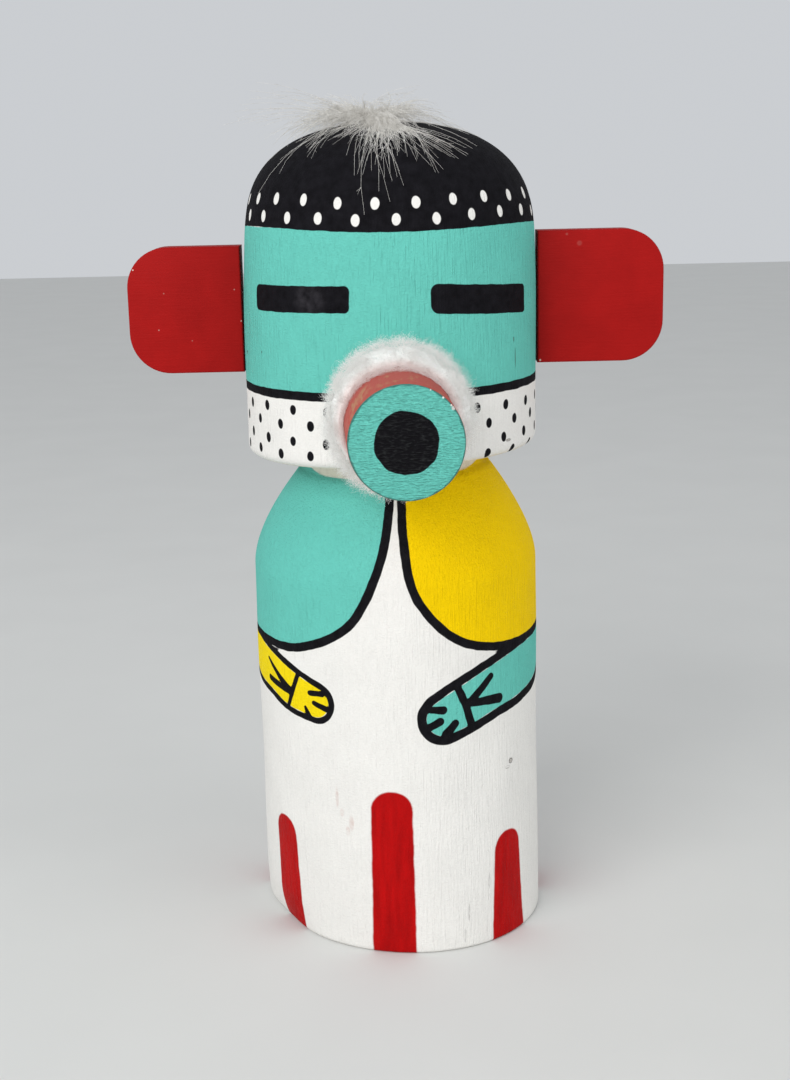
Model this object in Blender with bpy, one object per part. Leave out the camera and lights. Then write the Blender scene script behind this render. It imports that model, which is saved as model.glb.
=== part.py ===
"""Carved and painted kachina doll, modelled at its real size.

Metres, +Z up. The doll stands on the origin and looks along -Y. One log carved
as body, neck and head; two ear boards; a dowel snout in a ruff of wool; and a
tuft of down plumes on the crown.
"""

import math

import bmesh
import bpy
from mathutils import Matrix, Vector, noise

# Log figure
BODY_RADIUS = 0.0460
FOOT_EDGE = 0.0012
SIDE_HEIGHT = 0.1190
SHOULDER_HEIGHT = 0.0310
SHOULDER_FULLNESS = 0.0110
NECK_RADIUS = 0.0285
NECK_SHELF = 0.0023
NECK_HEIGHT = 0.0068
HEAD_RADIUS = 0.0461
JAW_EDGE = 0.0030
JAW_UNDERCUT = 0.0015
HEAD_SIDE_HEIGHT = 0.0632
CROWN_HEIGHT = 0.0370
CROWN_POWER = 2.5

# Hand carving: how far the log is from a true turned shape
FOOT_OVAL = 0.0026
FOOT_OVAL_FADE = 0.0900
WORN_CORNER_DEPTH = 0.0028
WORN_CORNER_RISE = 0.0140
WORN_CORNER_AZIMUTH = math.radians(-68.0)
WORN_CORNER_SPREAD = math.radians(20.0)
NECK_CUT_TILT = math.radians(1.5)
NECK_CUT_REACH = 0.0160

# Ear boards
EAR_THICKNESS = 0.0095
EAR_CORNER = 0.0127
EAR_EDGE = 0.0006
LEFT_EAR_WIDTH = 0.0357
LEFT_EAR_HEIGHT = 0.0393
LEFT_EAR_LIFT = 0.0246
RIGHT_EAR_WIDTH = 0.0395
RIGHT_EAR_HEIGHT = 0.0411
RIGHT_EAR_LIFT = 0.0255

# Snout dowel
SNOUT_RADIUS = 0.0160
SNOUT_LENGTH = 0.0420
SNOUT_EDGE = 0.0006
SNOUT_LIFT = 0.0155
SNOUT_TURN = math.radians(3.1)
SNOUT_SIDE_SHIFT = -0.0011

# Wool ruff
WOOL_SIDE_REACH = 0.0052
WOOL_TOP_REACH = 0.0080
WOOL_DEPTH = 0.0170
WOOL_LUMP = 0.0012
WOOL_LUMP_SIZE = 0.0070

# Feather tuft
PLUME_COUNT = 17
PLUME_LENGTH = 0.0340
PLUME_LENGTH_CHANGE = 0.0060
PLUME_BROW_REACH = 0.0090
PLUME_WIDTH = 0.0105
PLUME_THICKNESS = 0.0022
PLUME_TIP = 0.25
PLUME_LIFT = 0.0085
PLUME_SCATTER = 0.22
KNOT_RADIUS = 0.0070
KNOT_HEIGHT = 0.0070
TUFT_SHIFT = Vector((-0.0040, -0.0070))

# Fits and mesh steps
JOINT_GAP = 0.0003
TURN_STEPS = 72
SNOUT_STEPS = 48
WOOL_STEPS = 40
WOOL_LOOP_STEPS = 12
PLUME_STEPS = 6

# Levels worked out from the sizes
SHOULDER_TOP = SIDE_HEIGHT + SHOULDER_HEIGHT
HEAD_BOTTOM = SHOULDER_TOP + NECK_HEIGHT
CROWN_BOTTOM = HEAD_BOTTOM + HEAD_SIDE_HEIGHT
SNOUT_LEVEL = HEAD_BOTTOM + SNOUT_LIFT

# Paint and stuff colours, linear RGB
WHITE_PAINT = (0.84, 0.82, 0.78)
RED_PAINT = (0.38, 0.015, 0.012)
SNOUT_PAINT = (0.55, 0.09, 0.08)
WOOL_WHITE = (0.86, 0.83, 0.76)
DOWN_WHITE = (0.80, 0.79, 0.76)


def clear_scene():
    """Remove every object that the file opens with."""
    for item in list(bpy.data.objects):
        bpy.data.objects.remove(item, do_unlink=True)


def plain_material(name, colour, roughness):
    """A Principled material with one colour and no metal."""
    material = bpy.data.materials.new(name)
    material.use_nodes = True
    shader = material.node_tree.nodes["Principled BSDF"]
    shader.inputs["Base Color"].default_value = (*colour, 1.0)
    shader.inputs["Roughness"].default_value = roughness
    shader.inputs["Metallic"].default_value = 0.0
    return material


def make_object(name, bm, material, smooth_angle=math.radians(40.0)):
    """Turn a bmesh into a named, shaded object in the scene."""
    bmesh.ops.recalc_face_normals(bm, faces=bm.faces)
    mesh = bpy.data.meshes.new(name)
    bm.to_mesh(mesh)
    bm.free()
    mesh.shade_smooth()
    mesh.set_sharp_from_angle(angle=smooth_angle)
    mesh.materials.append(material)
    item = bpy.data.objects.new(name, mesh)
    bpy.context.collection.objects.link(item)
    return item


def arc(centre, radius, start_deg, end_deg, steps):
    """Points (r, z) on a round edge of the turned profile."""
    points = []
    for step in range(steps + 1):
        angle = math.radians(start_deg + (end_deg - start_deg) * step / steps)
        points.append((centre[0] + radius * math.cos(angle), centre[1] + radius * math.sin(angle)))
    return points


def crown_point(turn):
    """Point (r, z) of the crown for a turn of 0 at its rim to a quarter circle at its top."""
    share = 2.0 / CROWN_POWER
    across = max(math.cos(turn), 0.0) ** share
    return HEAD_RADIUS * across, CROWN_BOTTOM + CROWN_HEIGHT * math.sin(turn) ** share


def figure_profile():
    """The log's turned profile, from the middle of the base to the middle of the crown."""
    points = [(0.0, 0.0)]
    points += arc((BODY_RADIUS - FOOT_EDGE, FOOT_EDGE), FOOT_EDGE, -90.0, 0.0, 2)
    side_rows = 7
    for row in range(1, side_rows + 1):
        points.append((BODY_RADIUS, FOOT_EDGE + (SIDE_HEIGHT - FOOT_EDGE) * row / side_rows))
    shelf_radius = NECK_RADIUS + NECK_SHELF
    shoulder_rows = 7
    for row in range(1, shoulder_rows + 1):
        t = row / shoulder_rows
        radius = (1.0 - t * t) * BODY_RADIUS + t * t * shelf_radius
        height = 2.0 * t * (1.0 - t) * SHOULDER_FULLNESS + t * t * SHOULDER_HEIGHT
        points.append((radius, SIDE_HEIGHT + height))
    points.append((NECK_RADIUS, SHOULDER_TOP + NECK_SHELF / 3.0))
    points.append((NECK_RADIUS, HEAD_BOTTOM + JAW_UNDERCUT))
    points += arc((HEAD_RADIUS - JAW_EDGE, HEAD_BOTTOM + JAW_EDGE), JAW_EDGE, -90.0, 0.0, 3)
    head_rows = 4
    for row in range(1, head_rows):
        span = HEAD_SIDE_HEIGHT - JAW_EDGE
        points.append((HEAD_RADIUS, HEAD_BOTTOM + JAW_EDGE + span * row / head_rows))
    crown_rows = 9
    for row in range(crown_rows):
        points.append(crown_point(0.5 * math.pi * row / crown_rows))
    points.append((0.0, CROWN_BOTTOM + CROWN_HEIGHT))
    return points


def carve_by_hand(point):
    """Move a point of the turned log to where the carver left it."""
    radius = math.hypot(point.x, point.y)
    if radius < 1e-9:
        return
    azimuth = math.atan2(point.x, -point.y)
    low = max(0.0, 1.0 - point.z / FOOT_OVAL_FADE)
    change = FOOT_OVAL * math.sin(2.0 * azimuth) * low
    off_corner = (azimuth - WORN_CORNER_AZIMUTH) / WORN_CORNER_SPREAD
    rim = max(0.0, 1.0 - point.z / WORN_CORNER_RISE)
    change -= WORN_CORNER_DEPTH * math.exp(-off_corner * off_corner) * rim * rim
    scale = 1.0 + change / BODY_RADIUS
    point.x *= scale
    point.y *= scale
    off_neck = (point.z - HEAD_BOTTOM) / NECK_CUT_REACH
    point.z += math.tan(NECK_CUT_TILT) * point.x * math.exp(-off_neck * off_neck)


def make_figure():
    """Body, neck and head, carved from one log."""
    bm = bmesh.new()
    verts = [bm.verts.new((radius, 0.0, height)) for radius, height in figure_profile()]
    edges = [bm.edges.new(pair) for pair in zip(verts[:-1], verts[1:])]
    bmesh.ops.spin(
        bm, geom=verts + edges, cent=(0.0, 0.0, 0.0), axis=(0.0, 0.0, 1.0),
        angle=2.0 * math.pi, steps=TURN_STEPS, use_merge=True,
    )
    bmesh.ops.remove_doubles(bm, verts=bm.verts, dist=1e-6)
    for vert in bm.verts:
        carve_by_hand(vert.co)
    return make_object("figure", bm, plain_material("painted cottonwood, white", WHITE_PAINT, 0.7))


def make_ear(name, side, width, height, lift):
    """One ear board, its inner edge against the side of the head."""
    bm = bmesh.new()
    size = Matrix.Diagonal((width, EAR_THICKNESS, height, 1.0))
    bmesh.ops.create_cube(bm, size=1.0, matrix=size)
    outer = []
    for edge in bm.edges:
        along = edge.verts[0].co - edge.verts[1].co
        middle = (edge.verts[0].co + edge.verts[1].co) / 2.0
        if abs(along.y) > EAR_THICKNESS / 2.0 and middle.x * side > 0.0:
            outer.append(edge)
    corner = min(EAR_CORNER, 0.48 * width, 0.48 * height)
    bmesh.ops.bevel(
        bm, geom=outer, offset=corner, offset_type="OFFSET", segments=8,
        profile=0.5, affect="EDGES", material=-1,
    )
    rim = [
        edge for edge in bm.edges
        if abs(abs(edge.link_faces[0].normal.y) - abs(edge.link_faces[1].normal.y)) > 0.5
    ]
    bmesh.ops.bevel(
        bm, geom=rim, offset=EAR_EDGE, offset_type="OFFSET", segments=1,
        profile=0.5, affect="EDGES", material=-1,
    )
    ear = make_object(name, bm, plain_material(name + " red paint", RED_PAINT, 0.6))
    ear.location.x = side * (HEAD_RADIUS + JOINT_GAP + width / 2.0)
    ear.location.z = HEAD_BOTTOM + lift + height / 2.0
    return ear


def upright_cylinder(name, radius, bottom, top, steps):
    """A guide cylinder round the Z axis, for cutting only."""
    bm = bmesh.new()
    bmesh.ops.create_cone(
        bm, cap_ends=True, segments=steps, radius1=radius, radius2=radius, depth=top - bottom,
    )
    bmesh.ops.translate(bm, verts=bm.verts, vec=(0.0, 0.0, (top + bottom) / 2.0))
    guide = make_object(name, bm, plain_material(name, WHITE_PAINT, 0.7))
    guide.hide_render = True
    guide.display_type = "WIRE"
    return guide


def make_snout():
    """The dowel snout, its back coped to the round of the face."""
    front = HEAD_RADIUS + SNOUT_LENGTH
    back = HEAD_RADIUS / 2.0
    bm = bmesh.new()
    bmesh.ops.create_cone(
        bm, cap_ends=True, segments=SNOUT_STEPS, radius1=SNOUT_RADIUS,
        radius2=SNOUT_RADIUS, depth=front - back,
    )
    bmesh.ops.rotate(bm, verts=bm.verts, matrix=Matrix.Rotation(math.pi / 2.0, 3, "X"))
    bmesh.ops.translate(bm, verts=bm.verts, vec=(0.0, -(front + back) / 2.0, 0.0))
    rim = [
        edge for edge in bm.edges
        if all(vert.co.y < -front + SNOUT_EDGE for vert in edge.verts)
    ]
    bmesh.ops.bevel(
        bm, geom=rim, offset=SNOUT_EDGE, offset_type="OFFSET", segments=2,
        profile=0.5, affect="EDGES", material=-1,
    )
    snout = make_object("snout", bm, plain_material("snout paint", SNOUT_PAINT, 0.6))
    snout.location = (SNOUT_SIDE_SHIFT, 0.0, SNOUT_LEVEL)
    snout.rotation_euler.z = SNOUT_TURN
    reach = 2.0 * SNOUT_RADIUS
    seat = upright_cylinder(
        "snout_seat_guide", HEAD_RADIUS + JOINT_GAP, SNOUT_LEVEL - reach, SNOUT_LEVEL + reach,
        TURN_STEPS,
    )
    cope = snout.modifiers.new("cope to the face", "BOOLEAN")
    cope.operation = "DIFFERENCE"
    cope.solver = "EXACT"
    cope.object = seat
    return snout


def snout_axis_x(y):
    """Where the snout's centre line is across the face at a depth of y."""
    return SNOUT_SIDE_SHIFT - y * math.tan(SNOUT_TURN)


def face_y(x, gap):
    """Depth of the face's round surface, moved out by a gap, at a place across it."""
    radius = HEAD_RADIUS + gap
    return -math.sqrt(max(radius * radius - x * x, 0.0))


def make_wool_ruff():
    """The ring of wool round the root of the snout, lying on the face."""
    bm = bmesh.new()
    inner = SNOUT_RADIUS / math.cos(math.pi / SNOUT_STEPS) + JOINT_GAP
    loops = []
    for turn_step in range(WOOL_STEPS):
        turn = 2.0 * math.pi * turn_step / WOOL_STEPS
        side_share = math.cos(turn) ** 2
        reach = WOOL_SIDE_REACH * side_share + WOOL_TOP_REACH * (1.0 - side_share)
        loop = []
        for step in range(WOOL_LOOP_STEPS):
            angle = 2.0 * math.pi * step / WOOL_LOOP_STEPS
            out = 0.5 - 0.5 * math.cos(angle)
            forward = 0.5 - 0.5 * math.sin(angle)
            puff = Vector((math.cos(turn), math.sin(turn), forward)) * inner / WOOL_LUMP_SIZE
            lump = WOOL_LUMP * noise.noise(puff)
            radius = inner + (reach + lump) * out
            offset_x = radius * math.cos(turn)
            depth = (WOOL_DEPTH + lump) * forward
            middle_x = snout_axis_x(-HEAD_RADIUS - WOOL_DEPTH * forward)
            x = middle_x + offset_x
            y = face_y(x, JOINT_GAP) - depth
            loop.append(bm.verts.new((x, y, SNOUT_LEVEL + radius * math.sin(turn))))
        loops.append(loop)
    for index, loop in enumerate(loops):
        following = loops[(index + 1) % WOOL_STEPS]
        for step in range(WOOL_LOOP_STEPS):
            after = (step + 1) % WOOL_LOOP_STEPS
            bm.faces.new((loop[step], loop[after], following[after], following[step]))
    return make_object("wool_ruff", bm, plain_material("raw white wool", WOOL_WHITE, 0.95))


def crown_surface(distance):
    """Height and outward slope (run, rise) of the crown at a distance from its middle."""
    share = min(distance / HEAD_RADIUS, 0.995)
    rest = 1.0 - share ** CROWN_POWER
    height = CROWN_BOTTOM + CROWN_HEIGHT * rest ** (1.0 / CROWN_POWER)
    fall = CROWN_HEIGHT / HEAD_RADIUS * share ** (CROWN_POWER - 1.0)
    fall *= rest ** (1.0 / CROWN_POWER - 1.0)
    return height, Vector((fall, 1.0)).normalized()


def plume_length(index, azimuth):
    """Plumes reach furthest over the brow, and no two neighbours are alike."""
    forward = max(0.0, math.cos(azimuth)) ** 2
    return PLUME_LENGTH + PLUME_LENGTH_CHANGE * math.sin(2.4 * index) + PLUME_BROW_REACH * forward


def make_plume(index):
    """One drooping plume, as a flat six-sided blade that follows the crown."""
    azimuth = 2.0 * math.pi * index / PLUME_COUNT + PLUME_SCATTER * math.sin(5.1 * index)
    outward = Vector((math.sin(azimuth), -math.cos(azimuth)))
    sideways = Vector((math.cos(azimuth), math.sin(azimuth)))
    length = min(plume_length(index, azimuth), 0.97 * HEAD_RADIUS)
    lift = PLUME_LIFT * (0.55 + 0.45 * math.sin(3.7 * index))
    bm = bmesh.new()
    previous = None
    for step in range(PLUME_STEPS + 1):
        t = step / PLUME_STEPS
        spread = outward * length * t
        spot = TUFT_SHIFT * (1.0 - t) + spread
        height, slope = crown_surface(spot.length)
        rise = JOINT_GAP + PLUME_THICKNESS + lift * 4.0 * t * (1.0 - t) + 0.4 * lift * t
        direction = spot.normalized() if spot.length > 1e-6 else outward
        width = PLUME_WIDTH * (PLUME_TIP + (1.0 - PLUME_TIP) * math.sin(math.pi * (0.15 + 0.8 * t)))
        thickness = PLUME_THICKNESS * (1.0 - 0.6 * t)
        ring = []
        for corner in range(6):
            turn = math.pi * corner / 3.0
            across = 0.5 * width * math.cos(turn)
            up = rise + 0.5 * thickness * math.sin(turn)
            flat = spot + direction * slope.x * up + sideways * across
            ring.append(bm.verts.new((flat.x, flat.y, height + slope.y * up)))
        if previous is None:
            bm.faces.new(ring)
        else:
            for corner in range(6):
                after = (corner + 1) % 6
                bm.faces.new((previous[corner], previous[after], ring[after], ring[corner]))
        previous = ring
    bm.faces.new(previous)
    plume = make_object("plume_guide_%02d" % index, bm, plain_material("down", DOWN_WHITE, 0.95))
    plume.hide_render = True
    plume.display_type = "WIRE"
    return plume


def make_feather_tuft():
    """The down tuft: a knot on the crown with every plume grown into it."""
    bm = bmesh.new()
    bmesh.ops.create_uvsphere(bm, u_segments=16, v_segments=8, radius=KNOT_RADIUS)
    middle = crown_surface(TUFT_SHIFT.length)[0] + JOINT_GAP
    for vert in bm.verts:
        rise = 0.5 * (vert.co.z / KNOT_RADIUS + 1.0)
        vert.co.z = middle + KNOT_HEIGHT * rise
        vert.co.x += TUFT_SHIFT.x
        vert.co.y += TUFT_SHIFT.y
    tuft = make_object("feather_tuft", bm, plain_material("white down", DOWN_WHITE, 0.95))
    for index in range(PLUME_COUNT):
        joined = tuft.modifiers.new("plume %02d" % index, "BOOLEAN")
        joined.operation = "UNION"
        joined.solver = "EXACT"
        joined.object = make_plume(index)
    return tuft


def main():
    """Build the doll."""
    clear_scene()
    make_figure()
    make_ear("ear_left", -1.0, LEFT_EAR_WIDTH, LEFT_EAR_HEIGHT, LEFT_EAR_LIFT)
    make_ear("ear_right", 1.0, RIGHT_EAR_WIDTH, RIGHT_EAR_HEIGHT, RIGHT_EAR_LIFT)
    make_snout()
    make_wool_ruff()
    make_feather_tuft()
    bpy.context.view_layer.update()


main()
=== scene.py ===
"""Looks of the kachina doll: painted log, red ear boards, dowel snout, wool and down.

The doll stands on the origin and faces -Y. Angles round the log are azimuths in
degrees from the middle of the face, positive towards +X. Places on the log are
given as (azimuth in degrees, height in millimetres).
"""

import math
import random

import bmesh
import bpy
import numpy as np
from mathutils import Matrix, Vector, noise


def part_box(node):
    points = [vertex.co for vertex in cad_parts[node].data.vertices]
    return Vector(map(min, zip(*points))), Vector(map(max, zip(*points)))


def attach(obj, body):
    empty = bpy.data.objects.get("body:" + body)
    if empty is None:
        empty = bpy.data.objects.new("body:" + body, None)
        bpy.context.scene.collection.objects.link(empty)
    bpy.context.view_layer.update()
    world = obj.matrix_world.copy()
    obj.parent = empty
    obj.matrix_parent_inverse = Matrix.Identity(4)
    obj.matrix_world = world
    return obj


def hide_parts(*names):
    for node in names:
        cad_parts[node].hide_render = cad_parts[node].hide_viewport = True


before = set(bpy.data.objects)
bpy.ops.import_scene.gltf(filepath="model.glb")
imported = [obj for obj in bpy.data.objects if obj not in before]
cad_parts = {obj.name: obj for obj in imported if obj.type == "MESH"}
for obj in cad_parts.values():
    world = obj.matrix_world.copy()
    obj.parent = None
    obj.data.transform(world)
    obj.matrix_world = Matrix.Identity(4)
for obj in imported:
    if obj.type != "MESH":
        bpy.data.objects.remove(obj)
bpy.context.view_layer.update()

MM = 0.001

# The log as carved, in millimetres
BODY_RADIUS = 46.0
FOOT_EDGE = 1.2
SIDE_HEIGHT = 119.0
SHOULDER_HEIGHT = 31.0
SHOULDER_FULLNESS = 11.0
NECK_RADIUS = 28.5
NECK_SHELF = 2.3
NECK_HEIGHT = 6.8
HEAD_RADIUS = 46.1
JAW_EDGE = 3.0
JAW_UNDERCUT = 1.5
HEAD_SIDE_HEIGHT = 63.2
CROWN_HEIGHT = 37.0
CROWN_POWER = 2.5
CROWN_DRAW_IN = 0.9
CROWN_DRAW_IN_LEVEL = 228.0
CROWN_DRAW_IN_REACH = 16.0
CROWN_DRAW_IN_LEAN = 0.45
FOOT_OVAL = 2.6
FOOT_OVAL_FADE = 90.0
WORN_CORNER_DEPTH = 2.8
WORN_CORNER_RISE = 14.0
WORN_CORNER_AZIMUTH = -68.0
WORN_CORNER_SPREAD = 20.0
NECK_CUT_TILT = math.tan(math.radians(1.5))
NECK_CUT_REACH = 16.0
KNIFE_WAVE = 0.38
KNIFE_WAVE_LENGTH = 20.0
KNIFE_WAVE_STRETCH = 1.8
KNIFE_WAVE_START = 4.0
KNIFE_WAVE_CLEAR = 8.0
SHOULDER_TOP = SIDE_HEIGHT + SHOULDER_HEIGHT
HEAD_BOTTOM = SHOULDER_TOP + NECK_HEIGHT
CROWN_BOTTOM = HEAD_BOTTOM + HEAD_SIDE_HEIGHT
CROWN_TOP = CROWN_BOTTOM + CROWN_HEIGHT

# Fine mesh of the log: columns crowd towards the painted front, edges over an angle in
# degrees stay sharp, and corners keep their distance to a painted edge up to a reach
LOG_COLUMNS = 310
COLUMN_CROWDING = 0.42
LOG_SHARP = 50.0
PAINT_REACH = 20.0

# Rows of that mesh up the body and the head: from, to and spacing, close at small marks
SIDE_ROWS = ((FOOT_EDGE, 69.0, 1.6), (69.0, 93.0, 0.5), (93.0, SIDE_HEIGHT, 0.9))
HEAD_ROWS = ((HEAD_BOTTOM + JAW_EDGE, 176.0, 1.2), (176.0, 212.0, 0.75), (212.0, CROWN_BOTTOM, 1.2))

# The glue line between two pieces, in millimetres
JOINT_GAP = 0.3

# Ears, in millimetres
EAR_CORNER = 12.7
EAR_EDGE = 0.6

# Pale specks on the ears: node, share across from the left, share up, half size in mm, how plain
EAR_SPECKS = (("ear_left", 0.062, 0.83, 0.22, 0.8), ("ear_left", 0.26, 0.35, 0.22, 0.30),
              ("ear_left", 0.32, 0.64, 0.24, 0.14), ("ear_left", 0.94, 0.66, 0.22, 0.22),
              ("ear_left", 0.99, 0.41, 0.25, 0.50), ("ear_left", 0.55, 0.26, 0.22, 0.14),
              ("ear_right", 0.33, 0.90, 0.80, 0.04), ("ear_right", 0.23, 0.97, 0.40, 0.06),
              ("ear_right", 0.02, 0.02, 0.30, 0.60))

# Snout, in millimetres; each chip on its rim is an angle from +X in degrees and a half size
SNOUT_RADIUS = 16.0
SNOUT_LENGTH = 42.0
SNOUT_EDGE = 0.5
SNOUT_TURN = math.tan(math.radians(3.1))
SNOUT_SIDE_SHIFT = -1.1
SNOUT_LEVEL = HEAD_BOTTOM + 15.5
SNOUT_DISC_RADIUS = 8.8
SNOUT_RIM_WIDTH = 0.45
SNOUT_CHIP_INSET = 0.3
SNOUT_CHIPS = ((65.0, 0.22), (50.5, 0.30), (36.0, 0.55), (39.5, 0.30))
SNOUT_WEAR_TURN = math.radians(141.0)
SNOUT_WEAR_DEPTH = 12.0
SNOUT_WEAR_HALF = (4.5, 9.0, 4.0)

# Wool, in millimetres; turns go round the snout from +X. A real fibre is about 0.03 mm
# across, too fine to show, so the fibres are drawn up to twice as thick.
WOOL_SIDE_REACH = 5.2
WOOL_TOP_REACH = 8.0
WOOL_DEPTH = 17.0
WOOL_THIN = 0.5
WOOL_THIN_TURN = math.radians(-62.0)
WOOL_BULGE = 0.5
WOOL_BULGE_TURN = math.radians(-8.0)
WOOL_TURNS = 280
WOOL_LOOP = 38
WOOL_LOCKS = 255
WOOL_LOCK_FIBRES = 21
WOOL_CORE_SHARE = 0.74
WOOL_CORE_DROP = 0.38
WOOL_LUMPS = ((1.0, 3.4), (0.65, 1.3))
WOOL_SINK = 0.45
# The pink near the snout, partly a stain and partly painted bounce light off the pink snout, reaches
# this far
WOOL_PINK_STAIN_AND_BOUNCE_REACH = 3.2
WOOL_WISPS = 2900
FIBRE_SEED = 11
WOOL_FIBRE_RADIUS = 0.024

# Layers of wool: name, lean off the skin, first share of the section, longest, thickness share
WOOL_LAYERS = (("wool_nap", 0.8, 0.0, 3.0, 1.55), ("wool_fuzz", 1.0, 0.08, 3.6, 0.95),
               ("wool_halo", 1.5, 0.35, 3.4, 0.6))

# Down, in millimetres; a real barb is about 0.02 mm across, and is drawn thicker to show
DOWN_ROOT = Vector((-5.0, -7.0, 258.5))
DOWN_ROOT_REACH = 8.0
DOWN_STEPS = 9
DOWN_HAIR_RADIUS = 0.075
DOWN_HAIR_TAPER = 0.045
DOWN_GAP = 0.25
BARB_RADIUS = 0.036
BARB_TAPER = 0.018
BARB_LENGTH = 2.1
BARBS_PER_HAIR = 5

# Fans of down: locks, hairs each, azimuth, its spread, elevation, shortest, longest, droop, bend
DOWN_FANS = ((32, 11, 22, 12, 0, 9, 23, 0.80, 0.34), (15, 3, -57, 7, 4, 19, 31, 0.47, 0.03),
             (6, 3, -84, 8, 16, 24, 42, 0.22, 0.08), (5, 3, 80, 10, 12, 16, 30, 0.36, 0.05),
             (6, 3, 55, 12, 4, 13, 19, 0.45, 0.85), (6, 5, -20, 16, 4, 6, 13, 0.75, 0.40),
             (8, 12, 135, 20, 10, 12, 34, 0.50, 0.14), (8, 12, -135, 20, 10, 12, 34, 0.50, 0.14),
             (5, 12, 180, 20, 8, 12, 32, 0.50, 0.14), (7, 9, -98, 16, 14, 8, 22, 0.35, 0.15),
             (44, 8, -10, 110, 42, 6, 17, 0.40, 0.50))

# Single hairs of down: azimuth, elevation, length, droop, bend
DOWN_STRAYS = ((48, 4, 33, 0.62, -0.22), (46, 3, 32, 0.63, -0.20), (50, 2, 28, 0.66, -0.24),
               (1, -20, 29, 0.70, 0.02), (-2, -15, 22, 0.70, 0.04), (38, 2, 27, 0.66, -0.16),
               (-79, 12, 45, 0.24, -0.06), (-86, 18, 42, 0.30, 0.08), (70, 4, 34, 0.36, 0.00))

# Painted lay-out: azimuths in degrees, heights and sizes in millimetres
CAP_EDGE = 226.4
CAP_BOW = 0.6
CAP_TILT = 0.25

# Dots: a row round the cap has one dot's azimuth and the row's height. A row round the band
# has a dot on the left, one on the right, the height, and where the right side begins;
# the right side's rows sag, most under the ear.
DOT_STEP = 15.0
DOT_STRAY = 0.35
CAP_DOT_HALF = (1.30, 1.70)
CAP_ROWS = ((-4.5, 234.7), (3.0, 229.8))
BAND_DOT_HALF = (1.22, 1.55)
BAND_ROWS = ((-9.9, 3.2, 173.8, 28), (-1.8, -6.0, 169.2, 30), (-10.3, 2.0, 164.2, 38),
             (-2.2, 8.2, 160.0, 30))
BAND_CLEAR_LEFT = 21.0
BAND_SAG_RIGHT = 1.1
MOUTH_LINE = 178.35
MOUTH_LINE_HALF = 1.35
MOUTH_TILT = 0.4
FACE_UNDER_CAP = 0.7

# Eye bars: start, end, half height, rounding at the start and at the end
EYE_LEFT = ((-61.0, 206.4), (-14.8, 206.8), 3.9, 1.7, 1.6)
EYE_RIGHT = ((15.0, 206.6), (62.5, 204.3), 4.3, 2.5, 1.3)
NECK_PAINT_EDGE = 150.7
NECK_PAINT_RISE = 4.5
NECK_UNDER_HEAD = 0.6

# Capes: the edge from the neck round to the side
CAPE_LINE_HALF = 1.4
CAPE_TOP = 160.0
CAPE_LEFT = ((-2.2, 152), (-2.4, 144), (-3.3, 138.5), (-4.8, 131.5), (-7.6, 124.5), (-11.6, 116.8),
             (-17.2, 109.6), (-25, 104.5), (-35, 100.8), (-46, 98.5), (-60, 98), (-90, 98))
CAPE_RIGHT = ((3.6, 152), (3.6, 144), (3.3, 137), (4.0, 129), (5.2, 122.5), (8.0, 116.5),
              (14.5, 109), (24, 102.6), (34, 99.4), (46, 97.6), (60, 97), (90, 97.5))

# Arms: azimuth, height and radius from behind the side to the fingertips
UNDER_CAPE = -9.0
ARM_LINE_LEFT = 2.1
ARM_LINE_RIGHT = 2.95
ARM_LEFT = ((-114, 106, 7.4), (-96, 94.8, 7.2), (-77, 90.3, 6.9), (-60, 88.0, 6.3), (-47, 84.8, 6.1),
            (-34.5, 82.2, 5.0))
ARM_RIGHT = ((114, 106, 7.6), (95, 94.5, 7.6), (76, 89.6, 7.3), (55, 87.1, 7.6), (39.5, 84.8, 7.1),
             (24.8, 80.7, 6.5), (17.8, 78.3, 5.8))

# Strokes on the hands: start, end, half width, and the share by which it thins
MARKS_LEFT = (((-42.8, 89.9), (-49.7, 77.9), 0.85, 0.0), ((-47.3, 83.6), (-63.6, 91.9), 1.55, 0.65),
              ((-47.3, 83.6), (-62.8, 85.3), 1.2, 0.1), ((-31.0, 85.3), (-36.9, 85.0), 1.0, 0.1),
              ((-29.0, 80.4), (-35.0, 81.9), 1.05, 0.2), ((-37.6, 76.8), (-39.5, 80.0), 1.1, 0.5))
MARKS_RIGHT = (((23.5, 87.2), (26.4, 82.1), 1.3, 0.0), ((26.4, 82.1), (29.2, 74.6), 1.35, 0.0),
               ((28.3, 81.8), (38.9, 88.8), 1.45, 0.2), ((28.3, 81.8), (43.2, 81.0), 1.25, -0.3),
               ((12.4, 81.4), (17.2, 80.9), 1.15, -0.2), ((11.4, 75.7), (15.9, 77.3), 1.3, 0.0),
               ((18.2, 73.0), (22.0, 76.1), 1.5, 0.15))

# Stripes: azimuth, top, half width at the top and at the foot
STRIPES = ((-57.5, 39.0, 5.8, 6.6), (-3.6, 55.0, 6.5, 7.0), (45.6, 36.2, 5.8, 7.8), (97, 50, 6.2, 6.8),
           (148, 38, 6.0, 7.0), (-161, 40, 6.0, 6.6), (-109, 51, 6.3, 7.0))

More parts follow.
